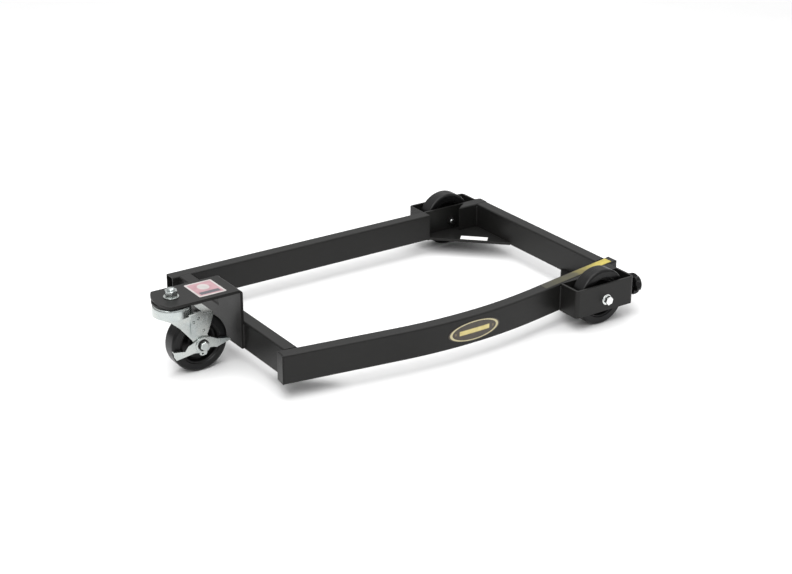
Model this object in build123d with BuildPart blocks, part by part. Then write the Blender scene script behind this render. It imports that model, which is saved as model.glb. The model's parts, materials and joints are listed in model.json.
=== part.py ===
# Mobile base for a stationary machine: a welded tube frame that a machine
# stands inside, two fixed wheels with screw locks at the rear, and one swivel
# caster with a side brake at the front.
#
# Units are millimetres.  +X runs from the caster to the fixed wheels, +Y from
# the bowed rail to the straight rail, +Z up, with z = 0 on the floor.  The
# origin is the middle of the footprint.  Plan coordinates below are written
# from the frame's own datum: x = 0 midway between the two cross members and
# y = 0 on a line a little short of the caster's centre line.  level(),
# facing_near() and facing_rear() place sketches from that datum.
from build123d import *
import math
import os

os.makedirs("parts", exist_ok=True)

# ---------------------------------------------------------------- dimensions
DATUM_X, DATUM_Y = 61.0, -10.0      # frame datum, seen from the origin

WHEEL_R = 50.8                      # 4 in wheels, all three
AXLE_Z = 50.8
RAIL_H = 50.8                       # 2 in tall tube
RAIL_W = 24.0
WALL = 2.0
TUBE_R = 3.0                        # outer corner radius of the tube
RAIL_TOP = 80.0
RAIL_BOT = RAIL_TOP - RAIL_H

FAR_OUT = 222.7                     # straight rail, outer face
FAR_IN = FAR_OUT - RAIL_W
FAR_LEFT = -350.0                   # its open end stands past the cross member

FRONT_OUT = -337.7                  # front cross member
FRONT_IN = FRONT_OUT + RAIL_W
REAR_OUT = 337.0                    # rear cross member
REAR_IN = REAR_OUT - RAIL_W

BOW_LEFT = -math.radians(8.8)       # heading of the bowed rail's two ends
BOW_RIGHT = math.radians(10.1)
BOW_APEX = (-3.3, -222.8)           # where the two straight headings cross
BOW_R = 857.0                       # bend radius on the centre line
NEAR_LEFT = -351.0                  # centre of its front end
NEAR_RIGHT = 348.0                  # its rear end, past the cross member

BR_X0, BR_X1 = 196.5, 326.0         # wheel brackets, both sides
BR_W = 48.0                         # bracket width over its plates
BR_T = 4.0
NEAR_BR_OUT = -244.0
FAR_BR_OUT = 264.0
WHEEL_X = 263.0
NEAR_WHEEL_Y = NEAR_BR_OUT + BR_W / 2
FAR_WHEEL_Y = FAR_BR_OUT - BR_W / 2
FIXED_W = 28.0                      # tread width of the fixed wheels

PLATE_T = 4.8                       # 3/16 in plate
PLATE_TOP = 137.5                   # caster plate, above the floor
STEM_X, STEM_Y = -448.0, 7.0        # swivel axis
CASTER_X = -407.0                   # caster axle, 41 mm of trail
CASTER_W = 32.0
PLATE_Y0, PLATE_Y1 = -31.5, 44.5

LOCK_Z = 52.5                       # height of the lock screws
LOCK_R = 4.7625                     # 3/8 in screw
FIT = 0.05                          # radial running clearance


def level(z):
    """Horizontal sketch plane at height z, in datum coordinates."""
    return Plane(origin=(DATUM_X, DATUM_Y, z))


def facing_near(y):
    """Upright plane at datum y: local x is +X, local y is +Z, normal -Y."""
    return Plane(origin=(DATUM_X, DATUM_Y + y, 0), x_dir=(1, 0, 0), z_dir=(0, -1, 0))


def facing_rear(x):
    """Upright plane at datum x: local x is +Y, local y is +Z, normal +X."""
    return Plane(origin=(DATUM_X + x, DATUM_Y, 0), x_dir=(0, 1, 0), z_dir=(1, 0, 0))


def axis_y(x, z):
    return Axis((DATUM_X + x, DATUM_Y, z), (0, 1, 0))


def axis_x(y, z):
    return Axis((DATUM_X, DATUM_Y + y, z), (1, 0, 0))


def axis_z(x, y):
    return Axis((DATUM_X + x, DATUM_Y + y, 0), (0, 0, 1))


def finish(builder, label):
    builder.part.label = label
    export_step(builder.part, f"parts/{label}.step")


# The bowed rail's plan.  The bend's centre lies on the +Y side.
U_LEFT = Vector(math.cos(BOW_LEFT), math.sin(BOW_LEFT))
U_RIGHT = Vector(math.cos(BOW_RIGHT), math.sin(BOW_RIGHT))
N_LEFT = Vector(-U_LEFT.Y, U_LEFT.X)
N_RIGHT = Vector(-U_RIGHT.Y, U_RIGHT.X)
APEX = Vector(*BOW_APEX)
TANGENT = BOW_R * math.tan((BOW_RIGHT - BOW_LEFT) / 2)
P_LEFT = APEX - U_LEFT * TANGENT
P_RIGHT = APEX + U_RIGHT * TANGENT
BOW_CENTRE = P_LEFT + N_LEFT * BOW_R
MID = (BOW_RIGHT + BOW_LEFT) / 2
N_MID = Vector(-math.sin(MID), math.cos(MID))


def bow_side(offset, x_left, x_right):
    """Points of a line beside the bowed rail's centre line, offset to +Y:
    front end, bend start, bend middle, bend end, rear end."""
    a = P_LEFT + N_LEFT * offset
    b = P_RIGHT + N_RIGHT * offset
    mid = BOW_CENTRE - N_MID * (BOW_R - offset)
    start = a + U_LEFT * ((x_left - a.X) / U_LEFT.X)
    end = b + U_RIGHT * ((x_right - b.X) / U_RIGHT.X)
    return start, a, mid, b, end


def near_face_y(x, offset):
    """Datum y of the rail's straight rear part at datum x, offset to +Y."""
    b = P_RIGHT + N_RIGHT * offset
    return b.Y + (x - b.X) * math.tan(BOW_RIGHT)


def near_front_y(x, offset):
    a = P_LEFT + N_LEFT * offset
    return a.Y + (x - a.X) * math.tan(BOW_LEFT)


# ---------------------------------------------------------------- the frame
# Bowed rail: one rectangular tube, bent flat; its front end is cut square to
# its own heading and its rear end square to the cross member.
HALF = RAIL_W / 2
front_end = P_LEFT + U_LEFT * ((NEAR_LEFT - P_LEFT.X) / U_LEFT.X)


def band(half, x_right, shorten=0.0):
    """Outline of the rail in plan, half wide each side of its centre line."""
    o = bow_side(-half, NEAR_LEFT, x_right)
    i = bow_side(half, NEAR_LEFT, x_right)
    f = front_end + U_LEFT * shorten
    f_out = f - N_LEFT * half
    f_in = f + N_LEFT * half
    with BuildLine() as outline:
        Line(f_out, o[1])
        ThreePointArc(o[1], o[2], o[3])
        Line(o[3], o[4])
        Line(o[4], i[4])
        Line(i[4], i[3])
        ThreePointArc(i[3], i[2], i[1])
        Line(i[1], f_in)
        Line(f_in, f_out)
    return outline.line


CAP_T = 2.0
with BuildPart() as near_rail:
    with BuildSketch(level(RAIL_BOT)):
        add(band(HALF, NEAR_RIGHT - CAP_T, CAP_T))
        make_face()
    extrude(amount=RAIL_H)
    long_edges = (
        near_rail.faces().sort_by(Axis.Z)[-1].edges()
        + near_rail.faces().sort_by(Axis.Z)[0].edges()
    ).filter_by(lambda e: e.length > 100)
    fillet(long_edges, TUBE_R)
    with BuildSketch(level(RAIL_BOT + WALL)):
        with BuildLine():
            add(band(HALF - WALL, NEAR_RIGHT + 10, -12))
        make_face()
    extrude(amount=RAIL_H - 2 * WALL, mode=Mode.SUBTRACT)
finish(near_rail, "near_rail")

# Welded end plates that close the bowed rail.
with BuildPart() as near_rail_end_caps:
    f0 = front_end
    with BuildSketch(level(RAIL_BOT + 0.6)):
        Polygon(
            *[
                (p.X, p.Y)
                for p in (
                    f0 - N_LEFT * (HALF - 0.6),
                    f0 + U_LEFT * CAP_T - N_LEFT * (HALF - 0.6),
                    f0 + U_LEFT * CAP_T + N_LEFT * (HALF - 0.6),
                    f0 + N_LEFT * (HALF - 0.6),
                )
            ],
            align=None,
        )
        y_lo = near_face_y(NEAR_RIGHT - CAP_T, -HALF) + 0.7
        y_hi = near_face_y(NEAR_RIGHT - CAP_T, HALF) - 0.5
        Polygon(
            (NEAR_RIGHT - CAP_T, y_lo),
            (NEAR_RIGHT, y_lo),
            (NEAR_RIGHT, y_hi),
            (NEAR_RIGHT - CAP_T, y_hi),
            align=None,
        )
    extrude(amount=RAIL_H - 1.2)
finish(near_rail_end_caps, "near_rail_end_caps")

# Straight rail: open at its front end, cut off at the rear wheel bracket.
with BuildPart() as far_rail:
    with BuildSketch(facing_rear(FAR_LEFT)):
        with Locations(((FAR_IN + FAR_OUT) / 2, (RAIL_TOP + RAIL_BOT) / 2)):
            RectangleRounded(RAIL_W, RAIL_H, TUBE_R)
            RectangleRounded(
                RAIL_W - 2 * WALL, RAIL_H - 2 * WALL, TUBE_R - WALL + 0.2, mode=Mode.SUBTRACT
            )
    extrude(amount=BR_X0 - FAR_LEFT)
finish(far_rail, "far_rail")

# Short length of the same tube that carries the straight rail's line on to the
# rear corner, past the wheel; its front end is cut on the slant.
SLANT = [(270.0, FAR_IN), (302.0, FAR_OUT)]
with BuildPart() as far_corner_tube:
    with BuildSketch(facing_rear(SLANT[0][0])):
        with Locations(((FAR_IN + FAR_OUT) / 2, (RAIL_TOP + RAIL_BOT) / 2)):
            RectangleRounded(RAIL_W, RAIL_H, TUBE_R)
            RectangleRounded(
                RAIL_W - 2 * WALL, RAIL_H - 2 * WALL, TUBE_R - WALL + 0.2, mode=Mode.SUBTRACT
            )
    extrude(amount=REAR_OUT - SLANT[0][0])
    with BuildSketch(level(RAIL_BOT - 1)):
        Polygon(
            (SLANT[0][0] - 5, FAR_IN - 1),
            (SLANT[0][0], FAR_IN - 1),
            (SLANT[0][0], FAR_IN),
            SLANT[1],
            (SLANT[1][0] + 1.4, FAR_OUT + 1),
            (SLANT[0][0] - 5, FAR_OUT + 1),
            align=None,
        )
    extrude(amount=RAIL_H + 2, mode=Mode.SUBTRACT)
finish(far_corner_tube, "far_corner_tube")


# Cross members: the same tube between the rails, mitred to the bowed rail.
with BuildPart() as front_cross_member:
    with BuildSketch(facing_near(FAR_IN)):
        with Locations(((FRONT_OUT + FRONT_IN) / 2, (RAIL_TOP + RAIL_BOT) / 2)):
            RectangleRounded(RAIL_W, RAIL_H, TUBE_R)
            RectangleRounded(
                RAIL_W - 2 * WALL, RAIL_H - 2 * WALL, TUBE_R - WALL + 0.2, mode=Mode.SUBTRACT
            )
    extrude(amount=FAR_IN + 200)
    with BuildSketch(level(RAIL_BOT - 1)):
        Polygon(
            (FRONT_OUT - 2, near_front_y(FRONT_OUT - 2, HALF)),
            (FRONT_IN + 2, near_front_y(FRONT_IN + 2, HALF)),
            (FRONT_IN + 2, -210),
            (FRONT_OUT - 2, -210),
            align=None,
        )
    extrude(amount=RAIL_H + 2, mode=Mode.SUBTRACT)
finish(front_cross_member, "front_cross_member")

with BuildPart() as rear_cross_member:
    with BuildSketch(facing_near(FAR_IN)):
        with Locations(((REAR_OUT + REAR_IN) / 2, (RAIL_TOP + RAIL_BOT) / 2)):
            RectangleRounded(RAIL_W, RAIL_H, TUBE_R)
            RectangleRounded(
                RAIL_W - 2 * WALL, RAIL_H - 2 * WALL, TUBE_R - WALL + 0.2, mode=Mode.SUBTRACT
            )
    extrude(amount=FAR_IN + 180)
    with BuildSketch(level(RAIL_BOT - 1)):
        Polygon(
            (REAR_IN - 2, near_face_y(REAR_IN - 2, HALF)),
            (REAR_OUT + 2, near_face_y(REAR_OUT + 2, HALF)),
            (REAR_OUT + 2, -190),
            (REAR_IN - 2, -190),
            align=None,
        )
    extrude(amount=RAIL_H + 2, mode=Mode.SUBTRACT)
finish(rear_cross_member, "rear_cross_member")

# ------------------------------------------------------------ wheel brackets
# Each is a strip bent round the wheel on three sides, welded to the rail, and
# closed on the rail's side by a flat inner plate.
AXLE_R = 6.35                       # 1/2 in shoulder axle bolt
AXLE_THREAD_R = 4.0
BEND_R = 7.0


def bracket_channel(y_out, y_in):
    """Plan of the bent strip: open towards the rail."""
    s = 1 if y_in > y_out else -1
    with BuildSketch() as plan:
        with BuildLine():
            Polyline(
                (BR_X0, y_in),
                (BR_X0, y_out),
                (BR_X1, y_out),
                (BR_X1, y_in),
                (BR_X1 - BR_T, y_in),
                (BR_X1 - BR_T, y_out + s * BR_T),
                (BR_X0 + BR_T, y_out + s * BR_T),
                (BR_X0 + BR_T, y_in),
                close=True,
            )
        make_face()
        outer = plan.vertices().filter_by(lambda v: abs(v.Y - y_out) < 0.1)
        fillet(outer, BEND_R)
        inner = plan.vertices().filter_by(lambda v: abs(v.Y - y_out - s * BR_T) < 0.1)
        fillet(inner, BEND_R - BR_T)
    return plan.sketch


# the near bracket's front leg ends on the rail's slanting face
near_leg_y = near_face_y(BR_X0, -HALF)
NEAR_PLATE_Y = NEAR_BR_OUT + BR_W   # outer face of the inner plate, rail side
with BuildPart() as near_wheel_bracket:
    with BuildSketch(level(RAIL_BOT)):
        add(bracket_channel(NEAR_BR_OUT, NEAR_PLATE_Y))
    extrude(amount=RAIL_H)
    # trim to the rail
    with BuildSketch(level(RAIL_BOT - 1)):
        add(band(HALF, NEAR_RIGHT))
        make_face()
    extrude(amount=RAIL_H + 2, mode=Mode.SUBTRACT)
    # rear leg runs on to the rail
    with BuildSketch(level(RAIL_BOT)):
        Polygon(
            (BR_X1 - BR_T, NEAR_PLATE_Y),
            (BR_X1, NEAR_PLATE_Y),
            (BR_X1, near_face_y(BR_X1, -HALF)),
            (BR_X1 - BR_T, near_face_y(BR_X1 - BR_T, -HALF)),
            align=None,
        )
    extrude(amount=RAIL_H)
    with BuildSketch(facing_near(NEAR_BR_OUT)):
        with Locations((WHEEL_X, AXLE_Z)):
            Circle(AXLE_R + FIT)
    extrude(amount=-BR_T - 1, mode=Mode.SUBTRACT)
    with BuildSketch(facing_rear(BR_X1 + 1)):
        with Locations((NEAR_WHEEL_Y, LOCK_Z)):
            Circle(LOCK_R + 0.4)
    extrude(amount=-BR_T - 2, mode=Mode.SUBTRACT)
finish(near_wheel_bracket, "near_wheel_bracket")

FAR_PLATE_Y = FAR_BR_OUT - BR_W
with BuildPart() as far_wheel_bracket:
    with BuildSketch(level(RAIL_BOT)):
        add(bracket_channel(FAR_BR_OUT, FAR_PLATE_Y))
    extrude(amount=RAIL_H)
    # front leg carries on over the rail's cut end; the corner tube is let in
    with BuildSketch(level(RAIL_BOT)):
        Polygon(
            (BR_X0, FAR_IN),
            (BR_X0 + BR_T, FAR_IN),
            (BR_X0 + BR_T, FAR_PLATE_Y),
            (BR_X0, FAR_PLATE_Y),
            align=None,
        )
    extrude(amount=RAIL_H)
    with BuildSketch(level(RAIL_BOT - 1)):
        Polygon(
            (BR_X1 - BR_T - 1, FAR_PLATE_Y - 1),
            (BR_X1 + 1, FAR_PLATE_Y - 1),
            (BR_X1 + 1, FAR_OUT),
            (BR_X1 - BR_T - 1, FAR_OUT),
            align=None,
        )
    extrude(amount=RAIL_H + 2, mode=Mode.SUBTRACT)
    with BuildSketch(facing_near(FAR_BR_OUT - BR_T - 0.5)):
        with Locations((WHEEL_X, AXLE_Z)):
            Circle(AXLE_R + FIT)
    extrude(amount=-BR_T - 1, mode=Mode.SUBTRACT)
    with BuildSketch(facing_rear(BR_X1 + 1)):
        with Locations((FAR_WHEEL_Y, LOCK_Z)):
            Circle(LOCK_R + 0.4)
    extrude(amount=-BR_T - 2, mode=Mode.SUBTRACT)
finish(far_wheel_bracket, "far_wheel_bracket")

with BuildPart() as near_bracket_inner_plate:
    with BuildSketch(level(RAIL_BOT)):
        Polygon(
            (BR_X0 + BR_T, NEAR_PLATE_Y - BR_T),
            (BR_X1 - BR_T, NEAR_PLATE_Y - BR_T),
            (BR_X1 - BR_T, NEAR_PLATE_Y),
            (BR_X0 + BR_T, NEAR_PLATE_Y),
            align=None,
        )
    extrude(amount=RAIL_H)
    with BuildSketch(level(RAIL_BOT - 1)):
        add(band(HALF, NEAR_RIGHT))
        make_face()
    extrude(amount=RAIL_H + 2, mode=Mode.SUBTRACT)
    with BuildSketch(facing_near(NEAR_PLATE_Y + 1)):
        with Locations((WHEEL_X, AXLE_Z)):
            Circle(AXLE_THREAD_R + 0.2)
    extrude(amount=BR_T + 2, mode=Mode.SUBTRACT)
finish(near_bracket_inner_plate, "near_bracket_inner_plate")

with BuildPart() as far_bracket_inner_plate:
    with BuildSketch(level(RAIL_BOT)):
        k = (SLANT[1][0] - SLANT[0][0]) / RAIL_W
        Polygon(
            (BR_X0 + BR_T, FAR_PLATE_Y),
            (SLANT[0][0] + k * (FAR_PLATE_Y - FAR_IN), FAR_PLATE_Y),
            (SLANT[0][0] + k * (FAR_PLATE_Y + BR_T - FAR_IN), FAR_PLATE_Y + BR_T),
            (BR_X0 + BR_T, FAR_PLATE_Y + BR_T),
            align=None,
        )
    extrude(amount=RAIL_H)
    with BuildSketch(facing_near(FAR_PLATE_Y + BR_T + 1)):
        with Locations((WHEEL_X, AXLE_Z)):
            Circle(AXLE_THREAD_R + 0.2)
        with Locations((WHEEL_X + 7.0, AXLE_Z - 12)):
            Circle(2.6)
    extrude(amount=BR_T + 2, mode=Mode.SUBTRACT)
finish(far_bracket_inner_plate, "far_bracket_inner_plate")

# Filler strip that caps the wedge between the bowed rail and the inner plate.
WEDGE_T = 3.0
with BuildPart() as near_wedge_cap:
    with BuildSketch(level(RAIL_TOP - WEDGE_T)):
        xa = 222.0
        Polygon(
            (xa, NEAR_PLATE_Y),
            (BR_X1 - BR_T, NEAR_PLATE_Y),
            (BR_X1 - BR_T, near_face_y(BR_X1 - BR_T, -HALF) - 0.05),
            (xa, near_face_y(xa, -HALF) - 0.05),
            align=None,
        )
    extrude(amount=WEDGE_T)
    with BuildSketch(level(RAIL_BOT - 1)):
        add(band(HALF, NEAR_RIGHT))
        make_face()
    extrude(amount=RAIL_H + 2, mode=Mode.SUBTRACT)
finish(near_wedge_cap, "near_wedge_cap")

# ------------------------------------------------------------ corner supports
# Flat plates under the four inside corners, at the bottom of the rails: the
# machine's base stands on them.
# Each is snipped at its corner, clear of the upright weld bead there.
SUP_T = PLATE_T
SUP_TOP = RAIL_BOT + SUP_T
SNIP = 4.4
FILM = 0.3                          # thickness of the labels
LABEL_AT = Location((269.8, 148.7), -43.9)


def snip(cx, cy, sx, sy):
    """Triangle over a plate's corner; sx and sy point into the plate."""
    with BuildSketch(level(RAIL_BOT - 1)) as corner:
        Polygon(
            (cx - 2 * sx, cy - 2 * sy),
            (cx + (SNIP + 2) * sx, cy - 2 * sy),
            (cx - 2 * sx, cy + (SNIP + 2) * sy),
            align=None,
        )
    extrude(corner.sketch, amount=SUP_T + 2, mode=Mode.SUBTRACT)


with BuildPart() as far_rear_support:
    with BuildSketch(level(RAIL_BOT)):
        Polygon(
            (BR_X0 + BR_T, FAR_IN),
            (BR_X0 + BR_T, FAR_PLATE_Y),
            (SLANT[0][0] + k * (FAR_PLATE_Y - FAR_IN), FAR_PLATE_Y),
            SLANT[0],
            (REAR_IN, FAR_IN),
            (REAR_IN, 91.0),
            align=None,
        )
    extrude(amount=SUP_T)
    snip(REAR_IN, FAR_IN, -1, -1)
    # the paper label is let in flush, so that a base can lie on the plate
    with BuildSketch(level(SUP_TOP - FILM)):
        with Locations(LABEL_AT):
            RectangleRounded(52.0, 17.0, 1.0)
    extrude(amount=FILM + 1, mode=Mode.SUBTRACT)
finish(far_rear_support, "far_rear_support")

with BuildPart() as near_rear_support:
    with BuildSketch(level(RAIL_BOT)):
        Polygon(
            (217.0, near_face_y(217.0, HALF)),
            (REAR_IN, near_face_y(REAR_IN, HALF)),
            (REAR_IN, -61.0),
            align=None,
        )
    extrude(amount=SUP_T)
    snip(REAR_IN, near_face_y(REAR_IN, HALF), -1, 1)
finish(near_rear_support, "near_rear_support")

with BuildPart() as far_front_support:
    with BuildSketch(level(RAIL_BOT)):
        Polygon(
            (FRONT_IN, FAR_IN),
            (FRONT_IN + 82, FAR_IN),
            (FRONT_IN, FAR_IN - 84),
            align=None,
        )
    extrude(amount=SUP_T)
    snip(FRONT_IN, FAR_IN, 1, -1)
finish(far_front_support, "far_front_support")

with BuildPart() as near_front_support:
    with BuildSketch(level(RAIL_BOT)):
        Polygon(
            (FRONT_IN, near_front_y(FRONT_IN, HALF)),
            (FRONT_IN + 82, near_front_y(FRONT_IN + 82, HALF)),
            (FRONT_IN, near_front_y(FRONT_IN, HALF) + 76),
            align=None,
        )
    extrude(amount=SUP_T)
    snip(FRONT_IN, near_front_y(FRONT_IN, HALF), 1, 1)
finish(near_front_support, "near_front_support")

# ------------------------------------------------------- raised caster plate
# One plate bent down at its rear end and welded to the front cross member.
LEG_X1 = FRONT_OUT
LEG_X0 = FRONT_OUT - PLATE_T
BEND_OUT = 8.0
STEM_R = 6.35
with BuildPart() as caster_mount_plate:
    with BuildSketch(facing_near(PLATE_Y1)):
        with BuildLine():
            Polyline(
                (-500, PLATE_TOP - PLATE_T),
                (-500, PLATE_TOP),
                (LEG_X1, PLATE_TOP),
                (LEG_X1, RAIL_BOT + 2.5),
                (LEG_X0, RAIL_BOT + 2.5),
                (LEG_X0, PLATE_TOP - PLATE_T),
                close=True,
            )
        make_face()
    extrude(amount=PLATE_Y1 - PLATE_Y0)
    bend = caster_mount_plate.edges().filter_by(Axis.Y)
    fillet(
        bend.filter_by(
            lambda e: abs(e.center().X - DATUM_X - LEG_X1) < 0.1
            and abs(e.center().Z - PLATE_TOP) < 0.1
        ),
        BEND_OUT,
    )
    fillet(
        bend.filter_by(
            lambda e: abs(e.center().X - DATUM_X - LEG_X0) < 0.1
            and abs(e.center().Z - PLATE_TOP + PLATE_T) < 0.1
        ),
        BEND_OUT - PLATE_T,
    )
    # rounded nose round the stem
    with BuildSketch(level(PLATE_TOP - PLATE_T - 1)):
        with BuildLine():
            Polyline(
                (-466.0, PLATE_Y1 + 2),
                (-466.0, PLATE_Y1),
            )
            ThreePointArc((-466.0, PLATE_Y1), (-478.5, 12.0), (-469.0, PLATE_Y0))
            Polyline(
                (-469.0, PLATE_Y0),
                (-469.0, PLATE_Y0 - 2),
                (-505.0, PLATE_Y0 - 2),
                (-505.0, PLATE_Y1 + 2),
                (-466.0, PLATE_Y1 + 2),
            )
        make_face()
    extrude(amount=PLATE_T + 2, mode=Mode.SUBTRACT)
    nose = caster_mount_plate.edges().filter_by(Axis.Z).filter_by(
        lambda e: e.center().X < DATUM_X - 460
    )
    fillet(nose, 6.0)
    with BuildSketch(level(PLATE_TOP + 1)):
        with Locations((STEM_X, STEM_Y)):
            Circle(STEM_R + 0.3)
    extrude(amount=-PLATE_T - 2, mode=Mode.SUBTRACT)
finish(caster_mount_plate, "caster_mount_plate")

# ------------------------------------------------------------- swivel caster
PLATE_UNDER = PLATE_TOP - PLATE_T
RACE_T = 3.0
CROWN_TOP = PLATE_UNDER - RACE_T - 1.2
CROWN_R = 32.5
CROWN_BOT = 109.0
SHEET = 2.5                         # fork sheet thickness
LEG_HALF = 21.5                     # fork legs, outside, each side of centre
WASHER_T = 2.0
NUT_H = 10.5
NEAR_LEG_Y = STEM_Y - LEG_HALF      # outer face of the near leg
FAR_LEG_Y = STEM_Y + LEG_HALF
PIN_R = 1.6
PIN_PTS = [(-421.4, 93.5), (-404.4, 75.0)]

# Threaded stem through the plate, with its riveted lower head.
with BuildPart() as caster_stem:
    with BuildSketch(facing_near(STEM_Y)):
        with BuildLine():
            Polyline(
                (STEM_X, 118.5),
                (STEM_X + 11.0, 118.5),
                (STEM_X + 11.0, 123.6),
                (STEM_X + STEM_R, 125.1),
                (STEM_X + STEM_R, PLATE_TOP + WASHER_T + NUT_H + 2.2),
                (STEM_X + STEM_R - 1.2, PLATE_TOP + WASHER_T + NUT_H + 3.4),
                (STEM_X, PLATE_TOP + WASHER_T + NUT_H + 3.4),
                close=True,
            )
        make_face()
    revolve(axis=axis_z(STEM_X, STEM_Y))
finish(caster_stem, "caster_stem")

with BuildPart() as stem_washer:
    with BuildSketch(level(PLATE_TOP)):
        with Locations((STEM_X, STEM_Y)):
            Circle(13.0)
            Circle(STEM_R + 0.1, mode=Mode.SUBTRACT)
    extrude(amount=WASHER_T)
    fillet(stem_washer.edges().filter_by(lambda e: e.radius > 12 if e.geom_type == GeomType.CIRCLE else False), 0.5)
finish(stem_washer, "stem_washer")

with BuildPart() as stem_nut:
    with BuildSketch(level(PLATE_TOP + WASHER_T)):
        with Locations((STEM_X, STEM_Y)):
            RegularPolygon(9.5, 6, major_radius=False, rotation=12)
            Circle(STEM_R + 0.02, mode=Mode.SUBTRACT)
    extrude(amount=NUT_H)
    # chamfered corners: common volume with a double cone
    with BuildSketch(facing_near(STEM_Y)):
        with BuildLine():
            z0 = PLATE_TOP + WASHER_T
            Polyline(
                (STEM_X, z0 - 0.5),
                (STEM_X + 9.9, z0),
                (STEM_X + 11.2, z0 + 1.2),
                (STEM_X + 11.2, z0 + NUT_H - 1.2),
                (STEM_X + 9.4, z0 + NUT_H),
                (STEM_X, z0 + NUT_H + 0.5),
                close=True,
            )
        make_face()
    revolve(axis=axis_z(STEM_X, STEM_Y), mode=Mode.INTERSECT)
finish(stem_nut, "stem_nut")

# Upper race: a dished washer clamped under the plate.
with BuildPart() as caster_top_race:
    with BuildSketch(facing_near(STEM_Y)):
        with BuildLine():
            Polyline(
                (STEM_X + STEM_R + 0.1, PLATE_UNDER),
                (STEM_X + 33.0, PLATE_UNDER),
                (STEM_X + 33.0, PLATE_UNDER - RACE_T),
                (STEM_X + 23.5, PLATE_UNDER - RACE_T),
                (STEM_X + 22.0, PLATE_UNDER - RACE_T + 1.0),
                (STEM_X + 18.0, PLATE_UNDER - RACE_T + 1.0),
                (STEM_X + 16.5, PLATE_UNDER - RACE_T),
                (STEM_X + STEM_R + 0.1, PLATE_UNDER - RACE_T),
                close=True,
            )
        make_face()
    revolve(axis=axis_z(STEM_X, STEM_Y))
finish(caster_top_race, "caster_top_race")

# Ball ring between the upper race and the fork's crown.
BALL_R = 1.7
BALL_Z = CROWN_TOP + 0.15
with BuildPart() as caster_balls:
    with Locations(Location((DATUM_X + STEM_X, DATUM_Y + STEM_Y, BALL_Z))):
        with PolarLocations(20.0, 16):
            Sphere(BALL_R)
finish(caster_balls, "caster_balls")

# Fork: a pressed crown cup with a skirt, and two legs that start as one
# rounded wrap round the front and taper back to the axle.
def stadium(r, x_back):
    with BuildLine() as outline:
        Line((x_back, STEM_Y - r), (STEM_X, STEM_Y - r))
        ThreePointArc((STEM_X, STEM_Y - r), (STEM_X - r, STEM_Y), (STEM_X, STEM_Y + r))
        Line((STEM_X, STEM_Y + r), (x_back, STEM_Y + r))
        Line((x_back, STEM_Y + r), (x_back, STEM_Y - r))
    return outline.line


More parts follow.
